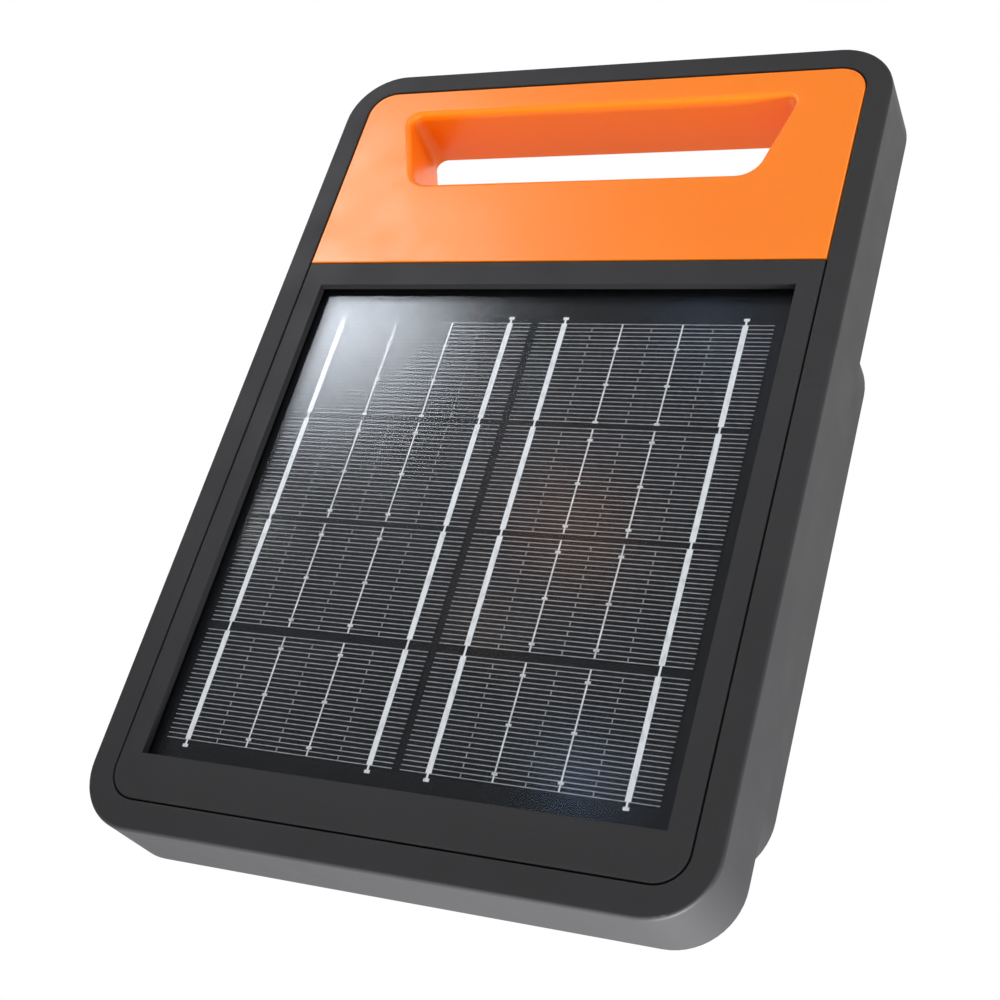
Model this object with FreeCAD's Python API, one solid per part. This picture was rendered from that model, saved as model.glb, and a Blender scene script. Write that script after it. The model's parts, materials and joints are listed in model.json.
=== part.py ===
"""Portable solar fence energizer: a flat case with a grip through its top, a solar panel on its front and a
rear cover that holds the battery, the pulse circuit and the terminals, hung on a post by a C-shaped bracket.

Millimetres. +X is to the right seen from the front, +Y runs from the front to the back, +Z is up.
The model is drawn with y = 0 on the front face and z = 0 on the bottom edge, and is moved at export so that
the origin is the middle of the bracket's seat, where a post bears.
"""

import FreeCAD
import Part
import math
import os

Vec = FreeCAD.Vector
X_AXIS = Vec(1, 0, 0)
Y_AXIS = Vec(0, 1, 0)
Z_AXIS = Vec(0, 0, 1)

# ---- case ----
WIDTH = 220.0
HEIGHT = 320.0
RIM_DEPTH = 27.6
CORNER_R = 21.5
WALL = 3.0
RIM_EDGE_R = 1.2

# ---- the inset front panel: handle cover above, solar bezel below ----
PANEL_HALF_W = 100.2
PANEL_BOTTOM = 10.8
PANEL_TOP = 310.6
PANEL_R = 10.4
PANEL_T = 3.0
PANEL_SPLIT = 226.6
PANEL_GAP = 0.5
PANEL_EDGE_R = 0.5
SPLIT_GAP = 0.4
LEDGE_W = 3.5
LEDGE_BACK = 5.5
CROSSBAR = (222.5, 231.0)

# ---- grip opening through the handle cover, a trapezoid wider at its top ----
GRIP_TOP = 299.2
GRIP_BOTTOM = 264.1
GRIP_TOP_X = (-81.2, 77.0)
GRIP_BOTTOM_X = (-68.4, 67.2)
GRIP_TOP_R = 4.0
GRIP_BOTTOM_R = 9.0
GRIP_FRONT_R = 2.0
LINER_WALL = 2.4
LINER_GAP = 0.3

# ---- solar window and laminate ----
WINDOW_X = (-92.0, 92.0)
WINDOW_Z = (26.4, 216.5)
GLASS_OVERLAP = 3.0
GLASS_FRONT = 3.8
GLASS_T = 1.8
POCKET_GAP = 0.2
POCKET_WALL = 1.7
POCKET_BACK = 8.5
TAPE_SETBACK = 1.0
RIBBON_T = 0.12
CELL_T = 0.2
BACKSHEET_T = 1.2
SEALANT_W = 2.5
CELL_W = 87.0
CELL_H = 41.0
CELL_COLUMNS = (-45.9, 43.0)
CELL_ROWS = (54.95, 98.6, 141.0, 183.55)
RIBBON_PITCH = (23.2, 22.0)
RIBBON_PLACE = 1.5  # pitches from the cell's middle to its wide ribbon
RIBBON_W = 1.7
JUNCTION_SIZE = (30.0, 26.0, 9.0)
JUNCTION_AT = (-48.0, 200.0)
JUNCTION_R = 3.0
JUNCTION_EDGE_R = 1.0

# ---- rear cover ----
COVER_PLATE_T = 3.0
SEAL_W = 1.4
SEAL_RECESS = (0.2, 0.4)
BULGE_INSET = 7.1
BULGE_BOTTOM = 31.2
BULGE_TOP = 237.2
BULGE_R = 23.0
BULGE_BACK = 66.0
BULGE_EDGE_R = 4.0
BULGE_WALL = 2.5
CASE_SCREWS = ((-88, 12), (0, 12), (88, 12), (-101, 250), (101, 250), (-101, 300), (101, 300), (0, 312))
SCREW_R = 1.5
SCREW_HOLE_R = 1.7
SCREW_PILOT_R = 1.3
SCREW_HEAD_R = 3.0
SCREW_HEAD_T = 1.8
SCREW_LEN = 12.0
SCREW_SHANK = 13.0
SCREW_RECESS_FLATS = 2.1
SCREW_RECESS_DEPTH = 0.9
BOSS_R = 4.0

# ---- controls and terminals in the bulge's bottom wall ----
CONTROL_Y = 46.0
EARTH_X = -66.0
PORT_X = -34.0
BUTTON_X = 0.0
LENS_X = 18.0
VENT_X = 38.0
FENCE_X = 66.0
STUD_R = 3.0
STUD_LOW = 9.0
STUD_TOP = 45.0
STUD_CHAMFER = 0.75
BUSH_R = 6.0
BUSH_SHOULDER_R = 7.0
BUSH_FLANGE_R = 9.0
BUSH_FLANGE_T = 2.2
BUSH_INNER_T = 3.2
WASHER_R = 7.0
WASHER_T = 1.2
NUT_FLATS = 10.0
NUT_T = 5.0
KNOB_R = 9.5
KNOB_H = 14.4
KNOB_GAP = 0.4
KNOB_EDGE_R = 1.2
KNOB_SHOULDER = 2.2
KNOB_FLUTES = 12
KNOB_FLUTE_R = 1.5
KNOB_FLUTE_AT = 10.0
RUNNING_GAP = 0.06

BUTTON_R = 6.0
BUTTON_LOW = 27.5
BUTTON_CAP_TOP = 33.0
BUTTON_TRAVEL = 1.2
BUTTON_GAP = 0.4
BUTTON_EDGE_R = 0.8
BUTTON_BOSS_R = 9.0
BUTTON_BOSS_TOP = 34.8
STEM_R = 2.5
STEM_TOP = 41.4
GUIDE_TOP = 39.8
CLIP_R = 3.6
CLIP_Z = (40.4, 41.2)
COLLAR_R = 9.4
COLLAR_LOW = 28.4
COLLAR_EDGE_R = 0.6
SWITCH_HALF_W = 3.0
PLUNGER_R = 1.75
PLUNGER_H = 1.0

LENS_R = 3.4
LENS_LOW = 30.2
LENS_EDGE_R = 0.7
LENS_FLANGE_R = 4.6
LENS_FLANGE_T = 1.0
LED_R = 2.5
LED_LOW = 36.7
VENT_R = 5.0
VENT_CAP_T = 2.0
VENT_NECK_R = 4.0
VENT_NECK_TOP = 35.7
VENT_BORE_R = 1.5

PORT_HOLE_R = 5.5
PORT_BLOCK = (18.0, 14.0, 12.0)
JACK_R = 3.2
JACK_DEPTH = 9.0
JACK_PIN_R = 1.0
JACK_PIN_SETBACK = 1.0
FLAP_W = 18.0
FLAP_T = 2.4
FLAP_TOP = 30.8
FLAP_BACK_Y = 55.5
FLAP_CORNER_R = 4.0
PLUG_R = 4.5
PLUG_H = 1.4
HINGE_Y = 34.6
HINGE_Z = 28.6
KNUCKLE_R = 2.2
KNUCKLE_W = 10.0
HINGE_PIN_R = 1.0
LUG_W = 3.0
LUG_GAP = 0.5

# ---- circuit boards ----
BOARD_X = 76.0
BOARD_Z = (130.0, 228.0)
BOARD_FRONT = 30.0
BOARD_T = 1.6
BOARD_SCREWS = ((-70, 146), (70, 146), (-70, 222), (70, 222))
BOARD_SCREW_LEN = 8.0
BOARD_BACK = BOARD_FRONT + BOARD_T
CONNECTOR_Z = (134.0, 142.0)
CONNECTOR_DEPTH = 10.0
REAR_CONNECTORS = (-64.0, -48.0, 0.0, 64.0)
FRONT_CONNECTORS = (-34.0, 10.0)
CONNECTOR_HALF = 6.0
FRONT_CONNECTOR_DEPTH = 8.0
SWITCH_BOARD_X = (-22.0, 30.0)
SWITCH_BOARD_Y = (40.0, 52.0)
SWITCH_BOARD_Z = 47.0
SWITCH_POSTS = (-18.0, 27.0)

# ---- the board's own parts, standing on its back face ----
SMOOTHING_X = (27.0, 45.0)
SMOOTHING_Z = 208.0
SMOOTHING_R = 8.0
SMOOTHING_H = 25.0
SMOOTHING_EDGE_R = 1.0
SINK_X = (-62.0, -22.0)
SINK_Z = (202.0, 226.0)
SINK_BASE_T = 3.0
FIN_COUNT = 7
FIN_PITCH = 6.0
FIN_T = 1.6
FIN_H = 16.0
THYRISTOR_X = (-17.0, -7.0)
THYRISTOR_LOW = 202.0
THYRISTOR_TAB = (1.0, 2.4, 218.0)
THYRISTOR_BODY = (1.0, 5.4, 211.0)
LEG_X = (-15.0, -12.4, -9.8)
LEG_W = 0.8
LEG_T = 2.0
LEG_Z = (199.0, 202.5)
CHIP_X = (55.0, 66.0)
CHIP_Z = (201.0, 212.0)
CHIP_T = 1.8

# ---- pulse transformer, its centre and its core's outer size ----
CORE_AT = (-38.0, 47.0, 170.0)
CORE_SIZE = (46.0, 18.0, 40.0)
LIMB_W = 14.0
YOKE = 8.0
SIDE_LIMB = 6.0
BOBBIN_T = 1.2
WINDING_T = 4.0
COIL_T = 3.6
COIL_CORNER_R = 3.2
CAPACITOR_AT = (32.0, 173.0)
CAPACITOR_SIZE = (50.0, 28.0, 34.0)
CAPACITOR_R = 3.0
CAPACITOR_EDGE_R = 1.5

# ---- battery ----
CELL_COUNT = 4
BATTERY_R = 13.0
BATTERY_PITCH = 27.4
BATTERY_Y = 44.0
BATTERY_Z = (56.0, 121.5)
BATTERY_EDGE_R = 0.8
CONTACT_T = 0.3
CONTACT_REACH = 5.0
CONTACT_HALF_W = 4.0
TRAY_T = 2.2
TRAY_HALF_W = 56.0
TRAY_EAR = 10.0
TRAY_EAR_HALF_H = 5.0
TRAY_FRONT = 33.0
TRAY_BACK = 59.9
TRAY_SCREWS = ((-61, 70), (61, 70), (-61, 110), (61, 110))
TRAY_SCREW_LEN = 4.0
STRAP_Z = (84.0, 94.0)
STRAP_T = 1.4

# ---- post bracket ----
BRACKET_HALF_W = 24.0
BRACKET_Z = (60.0, 210.0)
BRACKET_T = 2.5
FLANGE_DEPTH = 26.0
FLANGE_CORNER_R = 6.0
CROSS_HOLE_R = 3.25
CROSS_HOLES_Z = (80.0, 190.0)
CROSS_HOLE_BACK = 13.5
# x, z, length of the boss behind it, depth in the cover: the lower pair stops short of the battery tray.
BRACKET_SCREWS = ((-12, 72, 2.6, 4.1), (12, 72, 2.6, 4.1), (-12, 198, 12, 12), (12, 198, 12, 12))
BRACKET_SCREW_R = 2.0
BRACKET_HEAD_R = 3.9
BRACKET_BOSS_R = 5.0
BRACKET_RECESS_FLATS = 2.6
BRACKET_RECESS_DEPTH = 1.0

BRACKET_SEAT = BULGE_BACK + BRACKET_T
ORIGIN = Vec(0, BRACKET_SEAT, sum(BRACKET_Z) / 2)

# ---- leads ----
LEAD_R = 1.2
LEAD_BEND = 3.5
BATTERY_LEADS_X = (-3.0, 3.0)
PANEL_LEADS_X = (-50.0, -46.0)
PANEL_LEAD_Z = 196.0
PANEL_LANE = 5.0
PANEL_UNDER = 3.0
OUTPUT_LEAD_R = 1.5
OUTPUT_LEAD_X = 64.0
OUTPUT_LANE_X = 84.0
OUTPUT_DROP = 6.0
OUTPUT_LANE_Z = (118.0, 62.0)
OUTPUT_STEP_BACK = 5.0
STUD_RISE = 8.0
CABLE_LANE = 6.0
CABLE_START = 6.0
CABLE_RISE = 10.0
CABLE_TURN = (12.0, 5.0)
JACK_LEAD_H = 10.0

# How far a cutting tool passes a face, and how far a boss that is fused on runs into its wall.
OVER = 1.0
TOUCH = 1e-3  # nearer than this counts as the same place


# ---------------------------------------------------------------- helpers
def block(x, y, z):
    """A box from three (low, high) pairs."""
    return Part.makeBox(x[1] - x[0], y[1] - y[0], z[1] - z[0], Vec(x[0], y[0], z[0]))


def rod(axis, at, length, radius):
    return Part.makeCylinder(radius, length, Vec(*at), axis)


def ring(axis, at, length, outer, inner):
    return rod(axis, at, length, outer).cut(rod(axis, at, length, inner))


def fused(shapes):
    first, *rest = shapes
    return first.multiFuse(rest).removeSplitter() if rest else first


def outline(corners):
    """A closed wire in the XZ plane at y = 0 from (x, z, radius) corners, each rounded by its own arc."""
    edges = []
    tangents = []
    count = len(corners)
    for i, (x, z, radius) in enumerate(corners):
        here = Vec(x, 0, z)
        before = (Vec(corners[i - 1][0], 0, corners[i - 1][1]) - here).normalize()
        after_corner = corners[(i + 1) % count]
        after = (Vec(after_corner[0], 0, after_corner[1]) - here).normalize()
        if radius <= 0:
            tangents.append((here, here))
            continue
        half = before.getAngle(after) / 2
        reach = radius / math.tan(half)
        start = here + before * reach
        end = here + after * reach
        middle_way = (before + after).normalize()
        middle = here + middle_way * (radius / math.sin(half) - radius)
        edges.append(Part.Arc(start, middle, end).toShape())
        tangents.append((start, end))
    for i in range(count):
        start = tangents[i][1]
        end = tangents[(i + 1) % count][0]
        if start.distanceToPoint(end) > TOUCH:
            edges.append(Part.makeLine(start, end))
    return Part.Wire(Part.__sortEdges__(edges))


def slab(corners, y):
    """A plate with that outline, from y[0] to y[1]."""
    plate = Part.Face(outline(corners)).extrude(Vec(0, y[1] - y[0], 0))
    plate.translate(Vec(0, y[0], 0))
    return plate


def rectangle(x, z, radius):
    return [(x[0], z[0], radius), (x[1], z[0], radius), (x[1], z[1], radius), (x[0], z[1], radius)]


def rounded_slab(x, z, radius, y):
    return slab(rectangle(x, z, radius), y)


def inset_slab(inset, y):
    """The case's outer outline, drawn in by inset."""
    x = (-WIDTH / 2 + inset, WIDTH / 2 - inset)
    return rounded_slab(x, (inset, HEIGHT - inset), CORNER_R - inset, y)


def bulge_slab(inset, y):
    half = WIDTH / 2 - BULGE_INSET - inset
    return rounded_slab((-half, half), (BULGE_BOTTOM + inset, BULGE_TOP - inset), BULGE_R - inset, y)


def panel_slab(grow, y):
    half = PANEL_HALF_W + grow
    return rounded_slab((-half, half), (PANEL_BOTTOM - grow, PANEL_TOP + grow), PANEL_R + grow, y)


def grip_slab(grow, y):
    """The grip opening's outline, drawn out by grow on every side."""
    left = math.hypot(GRIP_TOP - GRIP_BOTTOM, GRIP_TOP_X[0] - GRIP_BOTTOM_X[0]) / (GRIP_TOP - GRIP_BOTTOM)
    right = math.hypot(GRIP_TOP - GRIP_BOTTOM, GRIP_TOP_X[1] - GRIP_BOTTOM_X[1]) / (GRIP_TOP - GRIP_BOTTOM)
    left_slope = (GRIP_TOP_X[0] - GRIP_BOTTOM_X[0]) / (GRIP_TOP - GRIP_BOTTOM)
    right_slope = (GRIP_TOP_X[1] - GRIP_BOTTOM_X[1]) / (GRIP_TOP - GRIP_BOTTOM)
    corners = [
        (GRIP_BOTTOM_X[0] - grow * (left + left_slope), GRIP_BOTTOM - grow, GRIP_BOTTOM_R + grow),
        (GRIP_BOTTOM_X[1] + grow * (right - right_slope), GRIP_BOTTOM - grow, GRIP_BOTTOM_R + grow),
        (GRIP_TOP_X[1] + grow * (right + right_slope), GRIP_TOP + grow, GRIP_TOP_R + grow),
        (GRIP_TOP_X[0] - grow * (left - left_slope), GRIP_TOP + grow, GRIP_TOP_R + grow),
    ]
    return slab(corners, y)


def edges_at_y(shape, y, keep=None):
    """The edges that lie wholly in the plane of that y, and pass keep(box) where it is given."""
    found = []
    for edge in shape.Edges:
        box = edge.BoundBox
        flat = abs(box.YMin - y) < TOUCH and abs(box.YMax - y) < TOUCH
        if flat and (keep is None or keep(box)):
            found.append(edge)
    return found


def lead(points, radius):
    """A round lead along straight runs joined by tangent arcs, each as large as its two runs allow."""
    points = [Vec(*p) for p in points]
    edges = []
    start = points[0]
    for before, corner, after in zip(points, points[1:], points[2:]):
        back = (before - corner).normalize()
        forth = (after - corner).normalize()
        half = back.getAngle(forth) / 2
        reach = 0.45 * min(before.distanceToPoint(corner), after.distanceToPoint(corner))
        bend = reach * math.tan(half)
        entry = corner + back * reach
        leave = corner + forth * reach
        middle = corner + (back + forth).normalize() * (bend / math.sin(half) - bend)
        edges.append(Part.LineSegment(start, entry).toShape())
        edges.append(Part.Arc(entry, middle, leave).toShape())
        start = leave
    edges.append(Part.LineSegment(start, points[-1]).toShape())
    path = Part.Wire(edges)
    profile = Part.Wire(Part.makeCircle(radius, points[0], points[1] - points[0]))
    tube = path.makePipeShell([profile], True, True)
    expected = math.pi * radius**2 * path.Length
    if abs(tube.Volume - expected) > 0.01 * expected:
        raise ValueError(f"a lead's volume is {tube.Volume:.1f} where {expected:.1f} is expected")
    return tube


def hexagon(at, height, flats):
    """A hexagonal prism along Z, centred on at in X and Y."""
    corner = flats / math.sqrt(3)
    turns = [math.pi / 3 * i for i in range(6)]
    points = [Vec(at[0] + corner * math.cos(turn), at[1] + corner * math.sin(turn), at[2]) for turn in turns]
    return Part.Face(Part.makePolygon([*points, points[0]])).extrude(Vec(0, 0, height))


def low_edges(shape, z):
    """The edges that lie wholly at that height."""
    return [edge for edge in shape.Edges if edge.BoundBox.ZMax < z + TOUCH]


def flat_edges(shape):
    return [edge for edge in shape.Edges if edge.BoundBox.ZLength < TOUCH]


def key_recess(x, back, z, flats, depth):
    """The cutter for a hexagon socket sunk into a face at y = back, from behind."""
    recess = hexagon((0, 0, -OVER), depth + OVER, flats)
    recess.rotate(Vec(0, 0, 0), X_AXIS, 90)
    recess.translate(Vec(x, back, z))
    return recess


def save(name, shapes):
    """Moves the node's solids to the exported frame and writes them as one STEP file."""
    solids = [solid for shape in shapes for solid in shape.Solids]
    if not solids or not all(solid.isValid() for solid in solids):
        raise ValueError(f"{name} has no solid, or one that isn't valid")
    node = Part.Compound(solids) if len(solids) > 1 else solids[0]
    node.translate(ORIGIN * -1)
    node.exportStep(f"parts/{name}.step")
    print(f"{name}: {len(solids)} solid(s), {node.Volume / 1000:.2f} cm3")


# ---------------------------------------------------------------- front of the case
def front_frame():
    """The rim and side walls, open at the back, with a ledge for the front panels and screw bosses."""
    frame = inset_slab(0, (0, RIM_DEPTH))
    frame = frame.makeFillet(RIM_EDGE_R, edges_at_y(frame, 0))
    frame = frame.cut(panel_slab(PANEL_GAP, (-OVER, PANEL_T)))
    frame = frame.cut(panel_slab(PANEL_GAP - LEDGE_W, (0, LEDGE_BACK)))
    frame = frame.cut(inset_slab(WALL, (LEDGE_BACK, RIM_DEPTH + OVER)))
    inner = PANEL_HALF_W + PANEL_GAP - LEDGE_W
    crossbar = block((-inner - OVER, inner + OVER), (PANEL_T, LEDGE_BACK), CROSSBAR)
    boss_len = RIM_DEPTH - COVER_PLATE_T - LEDGE_BACK + OVER
    bosses = [rod(Y_AXIS, (x, LEDGE_BACK - OVER, z), boss_len, BOSS_R) for x, z in CASE_SCREWS]
    frame = fused([frame, crossbar, *bosses])
    inside = WIDTH / 2 - WALL
    lip = edges_at_y(frame, 0, lambda box: abs(box.XMax) < inside and abs(box.XMin) < inside)
    frame = frame.makeFillet(PANEL_EDGE_R, lip)
    top = RIM_DEPTH - COVER_PLATE_T
    pilots = [rod(Y_AXIS, (x, top - SCREW_LEN, z), SCREW_LEN + OVER, SCREW_PILOT_R) for x, z in CASE_SCREWS]
    return frame.cut(fused(pilots))


def handle_cover():
    """The panel round the grip opening, with a liner that runs through to the back of the case."""
    low = PANEL_SPLIT + SPLIT_GAP / 2
    plate = panel_slab(0, (0, PANEL_T)).common(block((-WIDTH, WIDTH), (0, PANEL_T), (low, HEIGHT)))
    plate = plate.makeFillet(PANEL_EDGE_R, edges_at_y(plate, 0))
    cover = fused([plate, grip_slab(LINER_WALL, (PANEL_T - OVER, RIM_DEPTH))])
    cover = cover.cut(grip_slab(0, (-OVER, RIM_DEPTH + OVER)))
    inside = PANEL_HALF_W - 2 * PANEL_R
    mouth = edges_at_y(cover, 0, lambda box: box.ZMin > GRIP_BOTTOM - OVER and abs(box.Center.x) < inside)
    mouth = [edge for edge in mouth if edge.BoundBox.ZMax < GRIP_TOP + OVER]
    return cover.makeFillet(GRIP_FRONT_R, mouth)


def pocket_box(grow):
    """x and z limits of the laminate's pocket, grown by grow."""
    x = (WINDOW_X[0] - GLASS_OVERLAP - grow, WINDOW_X[1] + GLASS_OVERLAP + grow)
    z = (WINDOW_Z[0] - GLASS_OVERLAP - grow, WINDOW_Z[1] + GLASS_OVERLAP + grow)
    return x, z


def solar_bezel():
    """The panel round the solar window, with a wall behind it that makes the laminate's pocket."""
    high = PANEL_SPLIT - SPLIT_GAP / 2
    plate = panel_slab(0, (0, PANEL_T)).common(block((-WIDTH, WIDTH), (0, PANEL_T), (0, high)))
    plate = plate.makeFillet(PANEL_EDGE_R, edges_at_y(plate, 0))
    outer_x, outer_z = pocket_box(POCKET_GAP + POCKET_WALL)
    inner_x, inner_z = pocket_box(POCKET_GAP)
    wall = block(outer_x, (PANEL_T, POCKET_BACK), outer_z)
    wall = wall.cut(block(inner_x, (PANEL_T, POCKET_BACK), inner_z))
    window = block(WINDOW_X, (-OVER, PANEL_T + OVER), WINDOW_Z)
    return fused([plate.cut(window), wall])


def panel_tape():
    """Foam tape between the bezel and the glass."""
    x, z = pocket_box(0)
    band = block(x, (PANEL_T, GLASS_FRONT), z)
    hole_x = (WINDOW_X[0] - TAPE_SETBACK, WINDOW_X[1] + TAPE_SETBACK)
    hole_z = (WINDOW_Z[0] - TAPE_SETBACK, WINDOW_Z[1] + TAPE_SETBACK)
    return band.cut(block(hole_x, (0, POCKET_BACK), hole_z))


def laminate_layer(front, thickness):
    x, z = pocket_box(0)
    return block(x, (front, front + thickness), z)


def solar_cells():
    front = GLASS_FRONT + GLASS_T + RIBBON_T
    return [
        block((x - CELL_W / 2, x + CELL_W / 2), (front, front + CELL_T), (z - CELL_H / 2, z + CELL_H / 2))
        for x in CELL_COLUMNS
        for z in CELL_ROWS
    ]


def cell_ribbons():
    """Two wide tinned ribbons down the front of each cell."""
    y = (GLASS_FRONT + GLASS_T, GLASS_FRONT + GLASS_T + RIBBON_T)
    ribbons = []
    for column, pitch in zip(CELL_COLUMNS, RIBBON_PITCH):
        for side in (-1, 1):
            middle = column + side * RIBBON_PLACE * pitch
            x = (middle - RIBBON_W / 2, middle + RIBBON_W / 2)
            ribbons += [block(x, y, (z - CELL_H / 2, z + CELL_H / 2)) for z in CELL_ROWS]
    return ribbons


def panel_sealant():
    """A bead of sealant round the laminate's back edge, inside the bezel's pocket."""
    x, z = pocket_box(POCKET_GAP)
    back = laminate_back()
    band = block(x, (back, back + SEALANT_W / 2), z)
    hole = block(
        (x[0] + SEALANT_W, x[1] - SEALANT_W), (back, back + SEALANT_W), (z[0] + SEALANT_W, z[1] - SEALANT_W)
    )
    return band.cut(hole)


def laminate_back():
    return GLASS_FRONT + GLASS_T + RIBBON_T + CELL_T + BACKSHEET_T


def junction_box():
    """The box on the laminate's back where its two leads start."""
    width, height, depth = JUNCTION_SIZE
    x, z = JUNCTION_AT
    back = laminate_back()
    sides = (x - width / 2, x + width / 2)
    box = rounded_slab(sides, (z - height / 2, z + height / 2), JUNCTION_R, (back, back + depth))
    return box.makeFillet(JUNCTION_EDGE_R, edges_at_y(box, back + depth))


# ---------------------------------------------------------------- rear of the case
def bottom_holes():
    """What is cut through the bulge's bottom wall: two terminals, port, button, lens and vent."""
    length = BULGE_WALL + 2 * OVER
    places = (
        (EARTH_X, BUSH_R),
        (PORT_X, PORT_HOLE_R),
        (BUTTON_X, BUTTON_R + BUTTON_GAP),
        (LENS_X, LENS_R),
        (VENT_X, VENT_NECK_R),
        (FENCE_X, BUSH_R),
    )
    return [rod(Z_AXIS, (x, CONTROL_Y, BULGE_BOTTOM - OVER), length, radius) for x, radius in places]


def hinge_lugs():
    """Two ears under the bottom wall that carry the port cover's hinge pin."""
    lugs = []
    for side in (-1, 1):
        near = KNUCKLE_W / 2 + LUG_GAP
        x = sorted((PORT_X + side * near, PORT_X + side * (near + LUG_W)))
        ear = block(x, (HINGE_Y - KNUCKLE_R, HINGE_Y + KNUCKLE_R), (HINGE_Z, BULGE_BOTTOM + OVER))
        ear = ear.fuse(rod(X_AXIS, (x[0], HINGE_Y, HINGE_Z), LUG_W, KNUCKLE_R))
        lugs.append(ear.cut(rod(X_AXIS, (x[0], HINGE_Y, HINGE_Z), LUG_W, HINGE_PIN_R)))
    return lugs


def cover_pillars():
    """Pillars and posts inside the bulge for the board, the tray, the bracket and the switch board."""
    inner = BULGE_BACK - BULGE_WALL
    pillars = [rod(Y_AXIS, (x, BOARD_BACK, z), inner - BOARD_BACK + OVER, BOSS_R) for x, z in BOARD_SCREWS]
    pillars += [rod(Y_AXIS, (x, TRAY_BACK, z), inner - TRAY_BACK + OVER, BOSS_R) for x, z in TRAY_SCREWS]
    pillars += [
        rod(Y_AXIS, (x, inner - boss_len, z), boss_len + OVER, BRACKET_BOSS_R)
        for x, z, boss_len, _ in BRACKET_SCREWS
    ]
    base = BULGE_BOTTOM + BULGE_WALL - OVER
    pillars += [rod(Z_AXIS, (x, CONTROL_Y, base), SWITCH_BOARD_Z - base, STEM_R) for x in SWITCH_POSTS]
    return pillars


def rear_cover():
    """The back plate and the hollow bulge, with the holes, bosses and lugs that its parts need."""
    plate_front = RIM_DEPTH - COVER_PLATE_T
    plate = inset_slab(WALL + SEAL_W, (plate_front, RIM_DEPTH))
    bulge = bulge_slab(0, (RIM_DEPTH - OVER, BULGE_BACK))
    bulge = bulge.makeFillet(BULGE_EDGE_R, edges_at_y(bulge, BULGE_BACK))
    shell = fused([plate, bulge])
    shell = shell.cut(bulge_slab(BULGE_WALL, (plate_front - OVER, BULGE_BACK - BULGE_WALL)))
    shell = shell.cut(grip_slab(LINER_WALL + LINER_GAP, (0, BULGE_BACK)))
    boss_low = BULGE_BOTTOM + OVER
    boss = rod(Z_AXIS, (BUTTON_X, CONTROL_Y, boss_low), BUTTON_BOSS_TOP - boss_low, BUTTON_BOSS_R)
    shell = fused([shell, boss, *cover_pillars()])
    hole_low = BULGE_BOTTOM - OVER
    hole_len = BUTTON_BOSS_TOP - hole_low + OVER
    shell = shell.cut(rod(Z_AXIS, (BUTTON_X, CONTROL_Y, hole_low), hole_len, BUTTON_R + BUTTON_GAP))
    cuts = bottom_holes()
    cuts += [rod(Y_AXIS, (x, 0, z), RIM_DEPTH + OVER, SCREW_HOLE_R) for x, z in CASE_SCREWS]
    cuts += [rod(Y_AXIS, (x, BOARD_BACK, z), SCREW_LEN, SCREW_PILOT_R) for x, z in BOARD_SCREWS]
    cuts += [rod(Y_AXIS, (x, TRAY_BACK, z), TRAY_SCREW_LEN, SCREW_PILOT_R) for x, z in TRAY_SCREWS]
    for x, z, _, depth in BRACKET_SCREWS:
        cuts.append(rod(Y_AXIS, (x, BULGE_BACK - depth, z), depth + OVER, BRACKET_SCREW_R))
    return fused([shell.cut(fused(cuts)), *hinge_lugs()])


def housing_seal():
    seal = inset_slab(WALL, (RIM_DEPTH - COVER_PLATE_T + SEAL_RECESS[0], RIM_DEPTH - SEAL_RECESS[1]))
    return seal.cut(inset_slab(WALL + SEAL_W, (0, BULGE_BACK)))


def rear_screw(x, z):
    """A pan-head screw driven from the back through the cover plate."""
    head = rod(Y_AXIS, (x, RIM_DEPTH, z), SCREW_HEAD_T, SCREW_HEAD_R)
    head = head.makeFillet(SCREW_HEAD_T / 2, edges_at_y(head, RIM_DEPTH + SCREW_HEAD_T))
    shank = rod(Y_AXIS, (x, RIM_DEPTH - SCREW_SHANK, z), SCREW_SHANK, SCREW_PILOT_R)
    recess = key_recess(x, RIM_DEPTH + SCREW_HEAD_T, z, SCREW_RECESS_FLATS, SCREW_RECESS_DEPTH)
    return head.fuse(shank).cut(recess)


def front_screw(x, y, z, length):
    """A pan-head screw driven from the front, its head's underside at y."""
    head = rod(Y_AXIS, (x, y - SCREW_HEAD_T, z), SCREW_HEAD_T, SCREW_HEAD_R)
    return head.fuse(rod(Y_AXIS, (x, y, z), length, SCREW_PILOT_R))


def post_bracket():
    """A C-shaped steel channel: its web is screwed to the rear cover, its flanges pass both sides of a post."""
    half = BRACKET_HALF_W
    web = block((-half, half), (BULGE_BACK, BRACKET_SEAT), BRACKET_Z)
    flanges = []
    for side in (-1, 1):
        x = sorted((side * half, side * (half - BRACKET_T)))
        back = BULGE_BACK + FLANGE_DEPTH
        flange = block(x, (BULGE_BACK, back), BRACKET_Z)
        corners = edges_at_y(flange, back, lambda box: box.XLength > BRACKET_T / 2)
        corners = [edge for edge in corners if edge.BoundBox.ZLength < TOUCH]
        flanges.append(flange.makeFillet(FLANGE_CORNER_R, corners))
    bracket = fused([web, *flanges])
    cuts = [
        rod(X_AXIS, (-half - OVER, BRACKET_SEAT + CROSS_HOLE_BACK, z), 2 * (half + OVER), CROSS_HOLE_R)
        for z in CROSS_HOLES_Z
    ]
    for x, z, _, _ in BRACKET_SCREWS:
        cuts.append(rod(Y_AXIS, (x, BULGE_BACK - OVER, z), BRACKET_T + 2 * OVER, BRACKET_SCREW_R))
        cuts.append(countersink(x, z))
    return bracket.cut(fused(cuts))


def countersink(x, z):
    depth = BRACKET_HEAD_R - BRACKET_SCREW_R
    return Part.makeCone(BRACKET_SCREW_R, BRACKET_HEAD_R, depth, Vec(x, BRACKET_SEAT - depth, z), Y_AXIS)


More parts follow.
